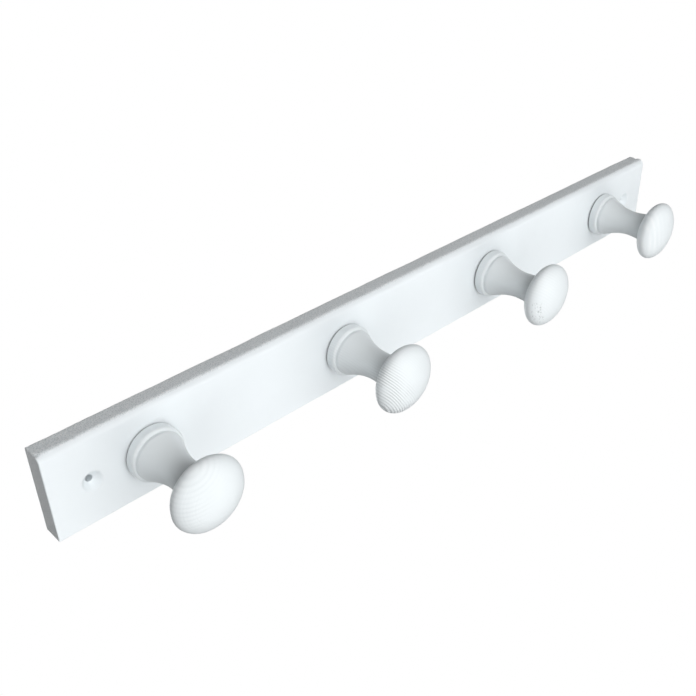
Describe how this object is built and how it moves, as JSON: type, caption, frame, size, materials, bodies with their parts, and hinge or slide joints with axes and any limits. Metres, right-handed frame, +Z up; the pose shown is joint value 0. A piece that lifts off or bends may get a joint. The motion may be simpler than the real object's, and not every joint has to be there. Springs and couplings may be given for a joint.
{
  "type": "wall coat rail",
  "caption": "Painted wooden wall board with a row of turned mushroom-head pegs for hanging coats, screwed to the wall through countersunk holes near its ends.",
  "frame": {"origin": "centre of the board's back face, which lies flat on the wall", "axes": "+X along the rail, -Y out of the wall along the pegs, +Z up with the rounded edge on top"},
  "size_m": [0.6, 0.0802, 0.06],
  "materials": {
    "board_paint": "white satin paint over planed softwood",
    "peg_paint": "white satin paint over turned softwood, the grain ridges showing through",
    "zinc_screw": "bright zinc plate"
  },
  "bodies": {
    "root": {"backboard": "board_paint", "peg_1": "peg_paint", "peg_2": "peg_paint", "peg_3": "peg_paint", "peg_4": "peg_paint", "peg_screw_1": "zinc_screw", "peg_screw_2": "zinc_screw", "peg_screw_3": "zinc_screw", "peg_screw_4": "zinc_screw"}
  },
  "joints": []
}
